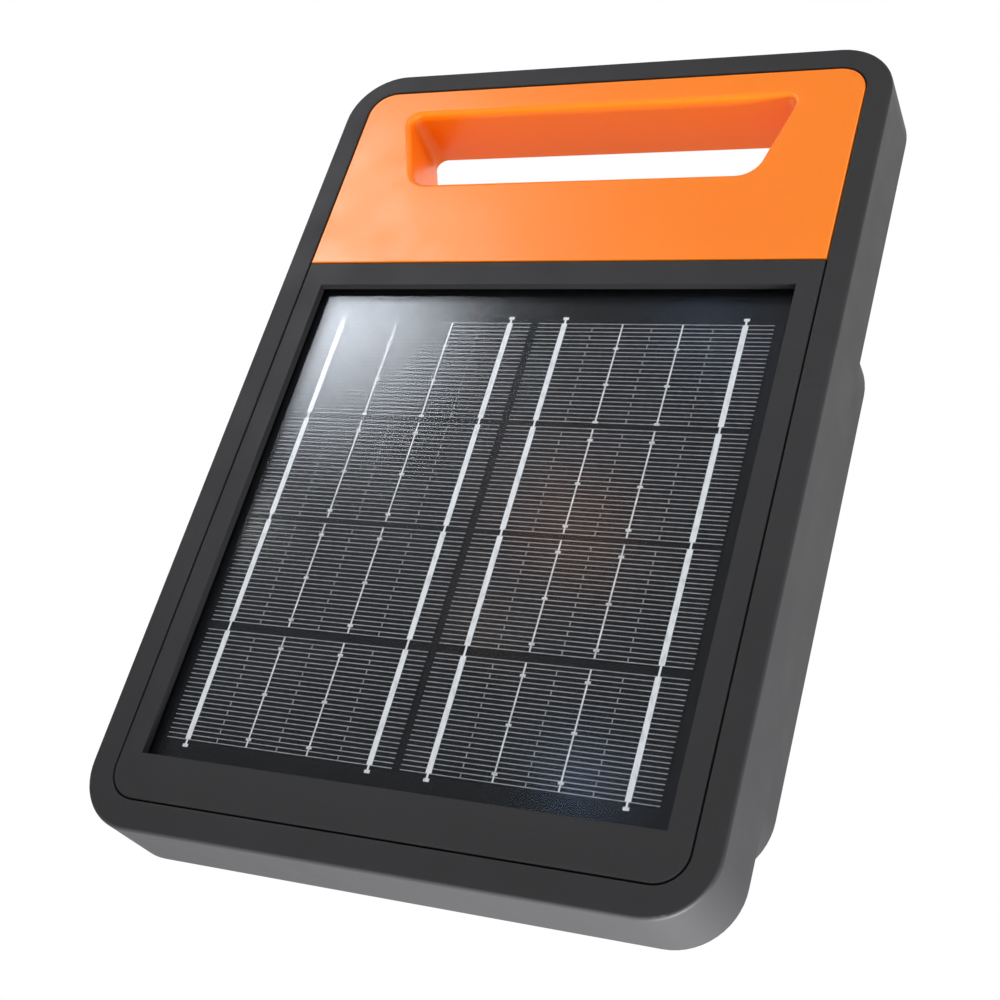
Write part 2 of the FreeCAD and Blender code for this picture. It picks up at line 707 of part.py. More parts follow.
def bracket_screw(x, z, depth):
    """A countersunk screw, flush with the bracket's seat, that runs depth into the cover."""
    head = countersink(x, z)
    shank = rod(Y_AXIS, (x, BULGE_BACK - depth, z), depth + BRACKET_SEAT - BULGE_BACK - OVER, BRACKET_SCREW_R)
    recess = key_recess(x, BRACKET_SEAT, z, BRACKET_RECESS_FLATS, BRACKET_RECESS_DEPTH)
    return shank.fuse(head).cut(recess)


# ---------------------------------------------------------------- controls and terminals
def terminal_bush(x):
    """An insulating bush through the bottom wall, with a flange outside and a shoulder inside."""
    outer = rod(Z_AXIS, (x, CONTROL_Y, BULGE_BOTTOM - BUSH_FLANGE_T), BUSH_FLANGE_T, BUSH_FLANGE_R)
    neck = rod(Z_AXIS, (x, CONTROL_Y, BULGE_BOTTOM), BULGE_WALL, BUSH_R)
    inner = rod(Z_AXIS, (x, CONTROL_Y, BULGE_BOTTOM + BULGE_WALL), BUSH_INNER_T, BUSH_SHOULDER_R)
    bush = fused([outer, neck, inner])
    return bush.cut(rod(Z_AXIS, (x, CONTROL_Y, 0), STUD_TOP, STUD_R))


def terminal_stud(x):
    stud = rod(Z_AXIS, (x, CONTROL_Y, STUD_LOW), STUD_TOP - STUD_LOW, STUD_R)
    return stud.makeChamfer(STUD_CHAMFER, low_edges(stud, STUD_LOW))


def terminal_washer(x):
    top = BULGE_BOTTOM - BUSH_FLANGE_T
    return ring(Z_AXIS, (x, CONTROL_Y, top - WASHER_T), WASHER_T, WASHER_R, STUD_R)


def terminal_nut(x):
    low = BULGE_BOTTOM + BULGE_WALL + BUSH_INNER_T
    nut = hexagon((x, CONTROL_Y, low), NUT_T, NUT_FLATS)
    return nut.cut(rod(Z_AXIS, (x, CONTROL_Y, low), NUT_T, STUD_R))


def terminal_knob(x):
    """A fluted hand nut that turns on the stud and clamps a lead against the washer."""
    top = BULGE_BOTTOM - BUSH_FLANGE_T - WASHER_T - KNOB_GAP
    knob = rod(Z_AXIS, (x, CONTROL_Y, top - KNOB_H), KNOB_H, KNOB_R)
    knob = knob.makeFillet(KNOB_EDGE_R, flat_edges(knob))
    flutes = []
    for i in range(KNOB_FLUTES):
        turn = 2 * math.pi * i / KNOB_FLUTES
        at = (
            x + KNOB_FLUTE_AT * math.cos(turn),
            CONTROL_Y + KNOB_FLUTE_AT * math.sin(turn),
            top - KNOB_H - OVER,
        )
        flutes.append(rod(Z_AXIS, at, KNOB_H + OVER - KNOB_SHOULDER, KNOB_FLUTE_R))
    bore = rod(Z_AXIS, (x, CONTROL_Y, 0), STUD_TOP, STUD_R + RUNNING_GAP)
    return knob.cut(fused([*flutes, bore]))


def power_button():
    """A push button whose stem slides in a guide and presses a switch."""
    cap = rod(Z_AXIS, (BUTTON_X, CONTROL_Y, BUTTON_LOW), BUTTON_CAP_TOP - BUTTON_LOW, BUTTON_R)
    cap = cap.makeFillet(BUTTON_EDGE_R, low_edges(cap, BUTTON_LOW))
    stem = rod(Z_AXIS, (BUTTON_X, CONTROL_Y, BUTTON_CAP_TOP), STEM_TOP - BUTTON_CAP_TOP, STEM_R)
    return cap.fuse(stem)


def button_clip():
    """The ring on the stem that keeps the button from falling out."""
    return ring(Z_AXIS, (BUTTON_X, CONTROL_Y, CLIP_Z[0]), CLIP_Z[1] - CLIP_Z[0], CLIP_R, STEM_R)


def button_guide():
    at = (BUTTON_X, CONTROL_Y, BUTTON_BOSS_TOP)
    return ring(Z_AXIS, at, GUIDE_TOP - BUTTON_BOSS_TOP, BUTTON_BOSS_R, STEM_R + RUNNING_GAP)


def button_collar():
    """A raised ring round the button that keeps it from being pressed by accident."""
    at = (BUTTON_X, CONTROL_Y, COLLAR_LOW)
    collar = ring(Z_AXIS, at, BULGE_BOTTOM - COLLAR_LOW, COLLAR_R, BUTTON_R + BUTTON_GAP)
    return collar.makeFillet(COLLAR_EDGE_R, low_edges(collar, COLLAR_LOW))


def status_lens():
    inside = BULGE_BOTTOM + BULGE_WALL
    lens = rod(Z_AXIS, (LENS_X, CONTROL_Y, LENS_LOW), inside - LENS_LOW, LENS_R)
    lens = lens.makeFillet(LENS_EDGE_R, low_edges(lens, LENS_LOW))
    return lens.fuse(rod(Z_AXIS, (LENS_X, CONTROL_Y, inside), LENS_FLANGE_T, LENS_FLANGE_R))


def status_led():
    dome = LED_LOW + LED_R
    body = rod(Z_AXIS, (LENS_X, CONTROL_Y, dome), SWITCH_BOARD_Z - dome, LED_R)
    return body.fuse(Part.makeSphere(LED_R, Vec(LENS_X, CONTROL_Y, dome)))


def vent_plug():
    """A breather in the bottom wall, with a bore covered by a membrane inside."""
    cap = rod(Z_AXIS, (VENT_X, CONTROL_Y, BULGE_BOTTOM - VENT_CAP_T), VENT_CAP_T, VENT_R)
    neck = rod(Z_AXIS, (VENT_X, CONTROL_Y, BULGE_BOTTOM), VENT_NECK_TOP - BULGE_BOTTOM, VENT_NECK_R)
    return cap.fuse(neck).cut(rod(Z_AXIS, (VENT_X, CONTROL_Y, 0), BULGE_BOTTOM + BULGE_WALL, VENT_BORE_R))


def charge_socket():
    """The charging jack behind the port hole, with its centre pin."""
    low = BULGE_BOTTOM + BULGE_WALL
    x = (PORT_X - PORT_BLOCK[0] / 2, PORT_X + PORT_BLOCK[0] / 2)
    y = (CONTROL_Y - PORT_BLOCK[1] / 2, CONTROL_Y + PORT_BLOCK[1] / 2)
    body = block(x, y, (low, low + PORT_BLOCK[2]))
    body = body.cut(rod(Z_AXIS, (PORT_X, CONTROL_Y, low - OVER), JACK_DEPTH + OVER, JACK_R))
    return body.fuse(rod(Z_AXIS, (PORT_X, CONTROL_Y, low + JACK_PIN_SETBACK), JACK_DEPTH, JACK_PIN_R))


def port_cover():
    """The hinged flap over the charging jack, with a knuckle on its pin and a low plug on its inside."""
    x = (PORT_X - FLAP_W / 2, PORT_X + FLAP_W / 2)
    knuckle_x = (PORT_X - KNUCKLE_W / 2, PORT_X + KNUCKLE_W / 2)
    clear = HINGE_Y + KNUCKLE_R + LUG_GAP
    flap = block(x, (clear, FLAP_BACK_Y), (FLAP_TOP - FLAP_T, FLAP_TOP))
    uprights = [edge for edge in flap.Edges if edge.BoundBox.ZLength > FLAP_T / 2]
    corners = [edge for edge in uprights if edge.BoundBox.YMin > FLAP_BACK_Y - OVER]
    flap = flap.makeFillet(FLAP_CORNER_R, corners)
    arm = block(knuckle_x, (HINGE_Y, clear + OVER), (FLAP_TOP - FLAP_T, FLAP_TOP))
    knuckle = rod(X_AXIS, (knuckle_x[0], HINGE_Y, HINGE_Z), KNUCKLE_W, KNUCKLE_R)
    plug = rod(Z_AXIS, (PORT_X, CONTROL_Y, FLAP_TOP - OVER), PLUG_H + OVER, PLUG_R)
    cover = fused([flap, arm, knuckle, plug])
    return cover.cut(rod(X_AXIS, (knuckle_x[0], HINGE_Y, HINGE_Z), KNUCKLE_W, HINGE_PIN_R + RUNNING_GAP))


def port_hinge_pin():
    length = KNUCKLE_W + 2 * (LUG_GAP + LUG_W)
    return rod(X_AXIS, (PORT_X - length / 2, HINGE_Y, HINGE_Z), length, HINGE_PIN_R)


def switch_board():
    return block(SWITCH_BOARD_X, SWITCH_BOARD_Y, (SWITCH_BOARD_Z, SWITCH_BOARD_Z + BOARD_T))


def tact_switch():
    """The switch under the button, hung from the switch board, its plunger just clear of the pressed stem."""
    plunger_low = STEM_TOP + BUTTON_TRAVEL + BUTTON_GAP
    half = SWITCH_HALF_W
    x = (BUTTON_X - half, BUTTON_X + half)
    body = block(x, (CONTROL_Y - half, CONTROL_Y + half), (plunger_low + PLUNGER_H, SWITCH_BOARD_Z))
    return body.fuse(rod(Z_AXIS, (BUTTON_X, CONTROL_Y, plunger_low), PLUNGER_H, PLUNGER_R))


# ---------------------------------------------------------------- main board and its parts
def circuit_board():
    board = block((-BOARD_X, BOARD_X), (BOARD_FRONT, BOARD_BACK), BOARD_Z)
    holes = [rod(Y_AXIS, (x, BOARD_FRONT - OVER, z), BOARD_T + 2 * OVER, SCREW_R) for x, z in BOARD_SCREWS]
    return board.cut(fused(holes))


def transformer_core():
    """A laminated core with a centre limb and two windows."""
    cx, cy, cz = CORE_AT
    width, depth, height = CORE_SIZE
    y = (cy - depth / 2, cy + depth / 2)
    core = block((cx - width / 2, cx + width / 2), y, (cz - height / 2, cz + height / 2))
    window_z = (cz - height / 2 + YOKE, cz + height / 2 - YOKE)
    for side in (-1, 1):
        near = cx + side * LIMB_W / 2
        far = cx + side * (width / 2 - SIDE_LIMB)
        core = core.cut(block(sorted((near, far)), (y[0] - OVER, y[1] + OVER), window_z))
    return core


def round_limb(grow, z):
    """A box round the core's centre limb, grown by grow in X and Y."""
    cx, cy, _ = CORE_AT
    x = (cx - LIMB_W / 2 - grow, cx + LIMB_W / 2 + grow)
    y = (cy - CORE_SIZE[1] / 2 - grow, cy + CORE_SIZE[1] / 2 + grow)
    return block(x, y, z)


def transformer_bobbin():
    z = (CORE_AT[2] - CORE_SIZE[2] / 2 + YOKE, CORE_AT[2] + CORE_SIZE[2] / 2 - YOKE)
    parts = [round_limb(BOBBIN_T, z)]
    parts += [round_limb(BOBBIN_T + WINDING_T, (low, low + BOBBIN_T)) for low in (z[0], z[1] - BOBBIN_T)]
    return fused(parts).cut(round_limb(0, z))


def transformer_winding():
    z = (
        CORE_AT[2] - CORE_SIZE[2] / 2 + YOKE + BOBBIN_T,
        CORE_AT[2] + CORE_SIZE[2] / 2 - YOKE - BOBBIN_T,
    )
    coil = round_limb(BOBBIN_T + COIL_T, z)
    uprights = [e for e in coil.Edges if e.BoundBox.ZLength > z[1] - z[0] - TOUCH]
    return coil.makeFillet(COIL_CORNER_R, uprights).cut(round_limb(BOBBIN_T, z))


def storage_capacitor():
    x, z = CAPACITOR_AT
    width, depth, height = CAPACITOR_SIZE
    sides = (x - width / 2, x + width / 2)
    back = BOARD_BACK + depth
    can = rounded_slab(sides, (z - height / 2, z + height / 2), CAPACITOR_R, (BOARD_BACK, back))
    return can.makeFillet(CAPACITOR_EDGE_R, edges_at_y(can, back))


def smoothing_capacitors():
    cans = []
    for x in SMOOTHING_X:
        can = rod(Y_AXIS, (x, BOARD_BACK, SMOOTHING_Z), SMOOTHING_H, SMOOTHING_R)
        cans.append(can.makeFillet(SMOOTHING_EDGE_R, edges_at_y(can, BOARD_BACK + SMOOTHING_H)))
    return cans


def on_board(x, rise, z):
    """A box on the board's back face, from rise[0] to rise[1] off it."""
    return block(x, (BOARD_BACK + rise[0], BOARD_BACK + rise[1]), z)


def heat_sink():
    """A finned strip that cools the thyristor."""
    base = on_board(SINK_X, (0, SINK_BASE_T), SINK_Z)
    starts = [SINK_X[0] + i * FIN_PITCH for i in range(FIN_COUNT)]
    return fused([base, *(on_board((x, x + FIN_T), (0, FIN_H), SINK_Z) for x in starts)])


def thyristor():
    """A power switch with a metal tab, a moulded body and three legs."""
    blocks = [
        on_board(THYRISTOR_X, (low, high), (THYRISTOR_LOW, top))
        for low, high, top in (THYRISTOR_TAB, THYRISTOR_BODY)
    ]
    legs = [on_board((x, x + LEG_W), (0, LEG_T), LEG_Z) for x in LEG_X]
    return fused([*blocks, *legs])


def control_chip():
    return on_board(CHIP_X, (0, CHIP_T), CHIP_Z)


def board_connectors():
    half = CONNECTOR_HALF
    rear = [on_board((x - half, x + half), (0, CONNECTOR_DEPTH), CONNECTOR_Z) for x in REAR_CONNECTORS]
    front = (BOARD_FRONT - FRONT_CONNECTOR_DEPTH, BOARD_FRONT)
    return rear + [block((x - half, x + half), front, CONNECTOR_Z) for x in FRONT_CONNECTORS]


# ---------------------------------------------------------------- battery
def battery_places():
    first = -(CELL_COUNT - 1) / 2 * BATTERY_PITCH
    return [first + i * BATTERY_PITCH for i in range(CELL_COUNT)]


def battery_cells():
    height = BATTERY_Z[1] - BATTERY_Z[0]
    cells = []
    for x in battery_places():
        cell = rod(Z_AXIS, (x, BATTERY_Y, BATTERY_Z[0]), height, BATTERY_R)
        cells.append(cell.makeFillet(BATTERY_EDGE_R, flat_edges(cell)))
    return cells


def battery_contacts():
    """A nickel strip across each pair of cell ends."""
    places = battery_places()
    y = (BATTERY_Y - CONTACT_HALF_W, BATTERY_Y + CONTACT_HALF_W)
    strips = []
    for left, right in zip(places[::2], places[1::2]):
        x = (left - CONTACT_REACH, right + CONTACT_REACH)
        for low in (BATTERY_Z[0] - CONTACT_T, BATTERY_Z[1]):
            strips.append(block(x, y, (low, low + CONTACT_T)))
    return strips


def battery_tray():
    """The open tray behind the cells, with end plates and four screw ears."""
    low = BATTERY_Z[0] - CONTACT_T
    high = BATTERY_Z[1] + CONTACT_T
    half = TRAY_HALF_W
    back = block((-half, half), (TRAY_BACK - TRAY_T, TRAY_BACK), (low - TRAY_T, high + TRAY_T))
    ends = [block((-half, half), (TRAY_FRONT, TRAY_BACK), (z, z + TRAY_T)) for z in (low - TRAY_T, high)]
    ears = []
    for x, z in TRAY_SCREWS:
        sides = sorted((math.copysign(half - OVER, x), math.copysign(half + TRAY_EAR, x)))
        ears.append(block(sides, (TRAY_BACK - TRAY_T, TRAY_BACK), (z - TRAY_EAR_HALF_H, z + TRAY_EAR_HALF_H)))
    tray = fused([back, *ends, *ears])
    holes = [rod(Y_AXIS, (x, 0, z), BULGE_BACK, SCREW_R) for x, z in TRAY_SCREWS]
    return tray.cut(fused(holes))


def battery_strap():
    """A band over the front of the cells, hooked to the tray's sides."""
    half = TRAY_HALF_W
    front = BATTERY_Y - BATTERY_R - STRAP_T
    outer = block((-half - STRAP_T, half + STRAP_T), (front, TRAY_BACK), STRAP_Z)
    return outer.cut(block((-half, half), (front + STRAP_T, BULGE_BACK), STRAP_Z))


# ---------------------------------------------------------------- leads
def battery_leads():
    """From the top of the battery tray up into the board's middle connector."""
    top = BATTERY_Z[1] + CONTACT_T + TRAY_T
    entry = BOARD_BACK + CONNECTOR_DEPTH / 2
    low = CONNECTOR_Z[0]
    leads = []
    for x in BATTERY_LEADS_X:
        points = [
            (x, BATTERY_Y, top),
            (x, BATTERY_Y, top + LEAD_BEND),
            (x, entry, low - LEAD_BEND),
            (x, entry, low),
        ]
        leads.append(lead(points, LEAD_R))
    return leads


def panel_leads():
    """From the junction box down in front of the board, under its edge and up into a connector."""
    start = laminate_back() + JUNCTION_SIZE[2]
    lane = start + PANEL_LANE
    entry = BOARD_BACK + CONNECTOR_DEPTH / 2
    under = BOARD_Z[0] - PANEL_UNDER
    leads = []
    for x in PANEL_LEADS_X:
        points = [
            (x, start, PANEL_LEAD_Z),
            (x, lane, PANEL_LEAD_Z),
            (x, lane, under),
            (x, entry, under),
            (x, entry, CONNECTOR_Z[0]),
        ]
        leads.append(lead(points, LEAD_R))
    return leads


def output_leads():
    """From the board's two outer connectors round the battery to the terminal studs."""
    entry = BOARD_BACK + CONNECTOR_DEPTH / 2
    low = CONNECTOR_Z[0]
    leads = []
    for side, stud in ((1, FENCE_X), (-1, EARTH_X)):
        points = [
            (side * OUTPUT_LEAD_X, entry, low),
            (side * OUTPUT_LEAD_X, entry, low - OUTPUT_DROP),
            (side * OUTPUT_LANE_X, entry + OUTPUT_STEP_BACK, OUTPUT_LANE_Z[0]),
            (side * OUTPUT_LANE_X, CONTROL_Y, OUTPUT_LANE_Z[1]),
            (stud, CONTROL_Y, STUD_TOP + STUD_RISE),
            (stud, CONTROL_Y, STUD_TOP),
        ]
        leads.append(lead(points, OUTPUT_LEAD_R))
    return leads


def control_cables():
    """From the charging jack and the switch board up in front of the battery to the board's front connectors."""
    lane = BOARD_FRONT - CABLE_LANE
    entry = BOARD_FRONT - FRONT_CONNECTOR_DEPTH / 2
    low = CONNECTOR_Z[0]
    jack_face = CONTROL_Y - PORT_BLOCK[1] / 2
    routes = (
        (FRONT_CONNECTORS[0], jack_face, BULGE_BOTTOM + JACK_LEAD_H, LEAD_R),
        (FRONT_CONNECTORS[1], SWITCH_BOARD_Y[0], SWITCH_BOARD_Z + BOARD_T / 2, BOARD_T / 2),
    )
    cables = []
    for x, face, z, radius in routes:
        points = [
            (x, face, z),
            (x, face - CABLE_START, z),
            (x, lane, z + CABLE_RISE),
            (x, lane, low - CABLE_TURN[0]),
            (x, entry, low - CABLE_TURN[1]),
            (x, entry, low),
        ]
        cables.append(lead(points, radius))
    return cables


def main():
    os.makedirs("parts", exist_ok=True)
    save("front_frame", [front_frame()])
    save("handle_cover", [handle_cover()])
    save("solar_bezel", [solar_bezel()])
    save("panel_tape", [panel_tape()])
    save("panel_glass", [laminate_layer(GLASS_FRONT, GLASS_T)])
    save("cell_ribbons", cell_ribbons())
    save("solar_cells", solar_cells())
    save("panel_backsheet", [laminate_layer(laminate_back() - BACKSHEET_T, BACKSHEET_T)])
    save("panel_sealant", [panel_sealant()])
    save("junction_box", [junction_box()])
    save("rear_cover", [rear_cover()])
    save("housing_seal", [housing_seal()])
    save("case_screws", [rear_screw(x, z) for x, z in CASE_SCREWS])
    save("post_bracket", [post_bracket()])
    save("bracket_screws", [bracket_screw(x, z, depth) for x, z, _, depth in BRACKET_SCREWS])
    for name, x in (("fence", FENCE_X), ("earth", EARTH_X)):
        save(f"{name}_bush", [terminal_bush(x)])
        save(f"{name}_stud", [terminal_stud(x)])
        save(f"{name}_knob", [terminal_knob(x)])
    save("terminal_washers", [terminal_washer(x) for x in (FENCE_X, EARTH_X)])
    save("terminal_nuts", [terminal_nut(x) for x in (FENCE_X, EARTH_X)])
    save("power_button", [power_button()])
    save("button_clip", [button_clip()])
    save("button_guide", [button_guide()])
    save("button_collar", [button_collar()])
    save("tact_switch", [tact_switch()])
    save("switch_board", [switch_board()])
    save("status_led", [status_led()])
    save("status_lens", [status_lens()])
    save("vent_plug", [vent_plug()])
    save("charge_socket", [charge_socket()])
    save("port_cover", [port_cover()])
    save("port_hinge_pin", [port_hinge_pin()])
    save("circuit_board", [circuit_board()])
    save("board_screws", [front_screw(x, BOARD_FRONT, z, BOARD_SCREW_LEN) for x, z in BOARD_SCREWS])
    save("board_connectors", board_connectors())
    save("transformer_core", [transformer_core()])
    save("transformer_bobbin", [transformer_bobbin()])
    save("transformer_winding", [transformer_winding()])
    save("storage_capacitor", [storage_capacitor()])
    save("smoothing_capacitors", smoothing_capacitors())
    save("heat_sink", [heat_sink()])
    save("thyristor", [thyristor()])
    save("control_chip", [control_chip()])
    save("battery_cells", battery_cells())
    save("battery_contacts", battery_contacts())
    save("battery_tray", [battery_tray()])
    save("battery_strap", [battery_strap()])
    tray_face = TRAY_BACK - TRAY_T
    save("tray_screws", [front_screw(x, tray_face, z, TRAY_SCREW_LEN) for x, z in TRAY_SCREWS])
    save("battery_leads", battery_leads())
    save("panel_leads", panel_leads())
    save("output_leads", output_leads())
    save("control_cables", control_cables())


main()
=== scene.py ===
"""Looks for the solar fence energizer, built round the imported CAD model. Metres, in the CAD model's frame."""

import json
import random

import bmesh
import bpy
from mathutils import Matrix, Vector

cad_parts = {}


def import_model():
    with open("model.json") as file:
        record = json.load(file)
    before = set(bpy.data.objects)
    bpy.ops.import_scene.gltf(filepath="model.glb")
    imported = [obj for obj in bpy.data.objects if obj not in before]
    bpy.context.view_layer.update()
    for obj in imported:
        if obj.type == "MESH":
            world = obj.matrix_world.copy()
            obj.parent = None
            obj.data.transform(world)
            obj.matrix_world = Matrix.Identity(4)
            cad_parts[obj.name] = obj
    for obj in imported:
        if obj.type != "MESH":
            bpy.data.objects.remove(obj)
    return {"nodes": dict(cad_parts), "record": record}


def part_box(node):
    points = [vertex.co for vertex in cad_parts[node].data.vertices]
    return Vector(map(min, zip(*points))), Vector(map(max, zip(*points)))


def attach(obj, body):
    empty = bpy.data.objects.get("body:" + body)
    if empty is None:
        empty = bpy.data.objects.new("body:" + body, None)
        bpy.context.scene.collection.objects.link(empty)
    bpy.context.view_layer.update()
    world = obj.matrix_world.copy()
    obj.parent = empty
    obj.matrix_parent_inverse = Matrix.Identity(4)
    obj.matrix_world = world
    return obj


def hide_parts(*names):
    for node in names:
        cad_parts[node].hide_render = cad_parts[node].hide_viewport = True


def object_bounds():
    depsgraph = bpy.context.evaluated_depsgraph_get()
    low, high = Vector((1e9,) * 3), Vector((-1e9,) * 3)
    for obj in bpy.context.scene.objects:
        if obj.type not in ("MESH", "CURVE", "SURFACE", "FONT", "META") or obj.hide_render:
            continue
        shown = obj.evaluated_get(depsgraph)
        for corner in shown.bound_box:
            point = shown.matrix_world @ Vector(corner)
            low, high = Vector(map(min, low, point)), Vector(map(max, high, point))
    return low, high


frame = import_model()
CAD_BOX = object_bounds()

MM = 0.001
SEED = 7
BODY = "housing"

# ---- camera: below the object and to its right, looking up at its front ----
CAMERA_AT = Vector((0.2574, -0.5098, -0.2472))
CAMERA_RIGHT = Vector((0.8951, 0.3588, 0.2650))
CAMERA_UP = Vector((-0.0542, -0.5020, 0.8632))
CAMERA_LENS = 61.51
CAMERA_SENSOR = 36.0
CAMERA_NEAR = 0.01
CAMERA_FAR = 50

# ---- stage ----
FLOOR_DROP = 0.75
FLOOR_SIZE = 8.0
FLOOR_COLOUR = (0.82, 0.82, 0.81)
STAGE_ROUGHNESS = 0.8
# The world is white. It fades between two values of Y, the share of a direction that points backwards.
WORLD_FRONT = 0.52
WORLD_BACK = 1.0
WORLD_FADE = (-0.5, 0.35)
# The lamps: (name, place, aimed at, diameter, watts).
LAMPS = (
    ("front_lamp", (0.5, -1.5, 1.1), (0, 0, 0), 0.7, 12),
    ("low_lamp", (0.35, -0.03, -0.72), (0, 0, -0.1), 0.3, 28),
    ("side_lamp", (0.9, 0.35, 1.1), (0.1, 0, 0.15), 0.7, 5),
    ("back_lamp", (-0.8, 1.5, 0.7), (0, 0, 0), 1.0, 12),
)
# What the glass mirrors: (name, share across, share down, radius, strength, colour).
CARDS = (
    ("corner_glow", 0.0, 0.02, 0.24, 38.0, (0.93, 0.96, 1.0)),
    ("handle_glow", 0.03, -0.24, 0.28, 8.0, (0.98, 0.98, 1.0)),
    ("edge_patch", -0.01, 0.5, 0.06, 14.0, (1.0, 0.98, 0.94)),
    ("amber_patch", 0.68, 0.49, 0.1, 4.5, (1.0, 0.4, 0.16)),
    ("amber_spot", 0.58, 0.68, 0.05, 3.0, (1.0, 0.5, 0.25)),
    ("blue_patch", 0.82, 0.93, 0.07, 6.0, (0.36, 0.6, 1.0)),
    ("blue_spot", 0.84, 0.1, 0.07, 4.0, (0.36, 0.58, 1.0)),
)
CARD_DISTANCE = 1.4
CARD_SIDES = 64

# ---- what is printed on each solar cell ----
FINGERS = 25
FINGER_W = 0.3 * MM
DASH_W = 0.32 * MM
BUSBAR_W = 0.55 * MM
PAD_W = 1.9 * MM
PAD_H = 0.9 * MM
# Where the solder pads lie on a bar, as shares of the cell's height from its top.
PADS = (0.12, 0.53, 0.92)
TOP_CELL_PADS = (0.26, 0.62, 0.985)
CELL_EDGE = 0.5 * MM
FINGER_RISE = 0.05 * MM
BAR_RISE = 2 * FINGER_RISE
PRINT_SINK = FINGER_RISE / 4
WELD = 0.001 * MM

# ---- the bright ribbons over the cells ----
# The pitch of bars and ribbons in the left and the right column.
RIBBON_PITCH = (23.2 * MM, 22.0 * MM)
RIBBON_FROM_MIDDLE = 1.5
RIBBON_W = 2.05 * MM
RIBBON_CREST = 0.9
RIBBON_STEP = 1.0 * MM
# How uneven a strip is: each edge's waver, the crest's dip, and the right side's share of that dip.
RIBBON_WAVER = 0.03 * MM
RIBBON_DIP = 0.05 * MM
RIBBON_TILT = 0.4
RIBBON_NOTCH = 0.55 * MM
NECK_W = 0.7 * MM
NECK_SINK = 0.05 * MM
TAB_W = 2.0 * MM
TAB_REACH = 2.2 * MM

# ---- surfaces: a noise's scale is per metre, and a bump's depth is in metres ----
# Nearly all of a noise's values lie in this span.
NOISE_SPAN = (0.3, 0.7)
CHARCOAL = (0.019, 0.019, 0.0205)
ORANGE = (0.98, 0.22, 0.004)
GLASS_SHINE = 0.009
GLASS_STEEPNESS = 5.0


# ---------------------------------------------------------------- node materials
class Shader:
    """A material with a Principled shader, and short calls to add nodes to it."""

    def __init__(self, name, colour=(1, 1, 1), roughness=0.5, metallic=0.0, **sockets):
        self.material = bpy.data.materials.new(name)
        self.material.use_nodes = True
        self.tree = self.material.node_tree
        self.main = self.tree.nodes["Principled BSDF"]
        self.main.inputs["Base Color"].default_value = (*colour, 1)
        self.main.inputs["Roughness"].default_value = roughness
        self.main.inputs["Metallic"].default_value = metallic
        for socket, value in sockets.items():
            self.main.inputs[socket.replace("_", " ")].default_value = value
        self.place = self.node("ShaderNodeTexCoord").outputs["Object"]

    def node(self, kind, **settings):
        """Adds a node and sets its properties."""
        made = self.tree.nodes.new(kind)
        for name, value in settings.items():
            setattr(made, name, value)
        return made

    def link(self, source, target):
        self.tree.links.new(source, target)

    def surface(self, source):
        """Makes source the material's surface, in place of the Principled shader."""
        self.link(source, self.tree.nodes["Material Output"].inputs["Surface"])

    def noise(self, scale, detail, stretch=(1, 1, 1)):
        """Noise over the object's own metres, as a 0 to 1 value."""
        scaled = self.node("ShaderNodeMapping")
        scaled.inputs["Scale"].default_value = stretch
        self.link(self.place, scaled.inputs["Vector"])
        texture = self.node("ShaderNodeTexNoise")
        texture.inputs["Scale"].default_value = scale
        texture.inputs["Detail"].default_value = detail
        self.link(scaled.outputs["Vector"], texture.inputs["Vector"])
        return texture.outputs["Fac"]

    def spread(self, value, low, high):
        """The values in NOISE_SPAN, mapped to low..high."""
        mapped = self.node("ShaderNodeMapRange")
        mapped.inputs["From Min"].default_value = NOISE_SPAN[0]
        mapped.inputs["From Max"].default_value = NOISE_SPAN[1]
        mapped.inputs["To Min"].default_value = low
        mapped.inputs["To Max"].default_value = high
        self.link(value, mapped.inputs["Value"])
        return mapped.outputs["Result"]

    def colour_by(self, value, low, high, at=(0.35, 0.65)):
        """Takes the base colour from low to high as value passes the two places."""
        ramp = self.node("ShaderNodeValToRGB")
        for element, place, colour in zip(ramp.color_ramp.elements, at, (low, high)):
            element.position = place
            element.color = (*colour, 1)
        self.link(value, ramp.inputs["Fac"])
        self.link(ramp.outputs["Color"], self.main.inputs["Base Color"])

    def roughness_by(self, value, low, high):
        self.link(self.spread(value, low, high), self.main.inputs["Roughness"])

    def bump_by(self, value, strength, depth):
        bump = self.node("ShaderNodeBump")
        bump.inputs["Strength"].default_value = strength
        bump.inputs["Distance"].default_value = depth
        self.link(value, bump.inputs["Height"])
        self.link(bump.outputs["Normal"], self.main.inputs["Normal"])


def shade(colour, factor):
    """A colour made darker or lighter."""
    return tuple(min(1.0, part * factor) for part in colour)


def plastic(name, colour, roughness, grain=2600, depth=0.02 * MM, patch=0.06, **sockets):
    """Moulded plastic: a fine spark-eroded grain, slow changes of tone and a little uneven gloss."""
    made = Shader(name, colour, roughness, **sockets)
    tone = made.noise(scale=14, detail=2)
    made.colour_by(tone, low=shade(colour, 1 - patch), high=shade(colour, 1 + patch))
    made.roughness_by(made.noise(scale=60, detail=4), low=roughness - 0.04, high=roughness + 0.05)
    made.bump_by(made.noise(scale=grain, detail=2), strength=0.35, depth=depth)
    return made.material


def metal(name, colour, roughness, stretch):
    """Metal with fine drawn or rolled marks, drawn out along an axis whose stretch is under 1."""
    made = Shader(name, colour, roughness, metallic=1.0)
    marks = made.noise(scale=900, detail=4, stretch=stretch)
    made.colour_by(marks, low=shade(colour, 0.82), high=shade(colour, 1.05))
    made.roughness_by(marks, low=roughness - 0.06, high=roughness + 0.1)
    made.bump_by(marks, strength=0.2, depth=0.01 * MM)
    return made.material


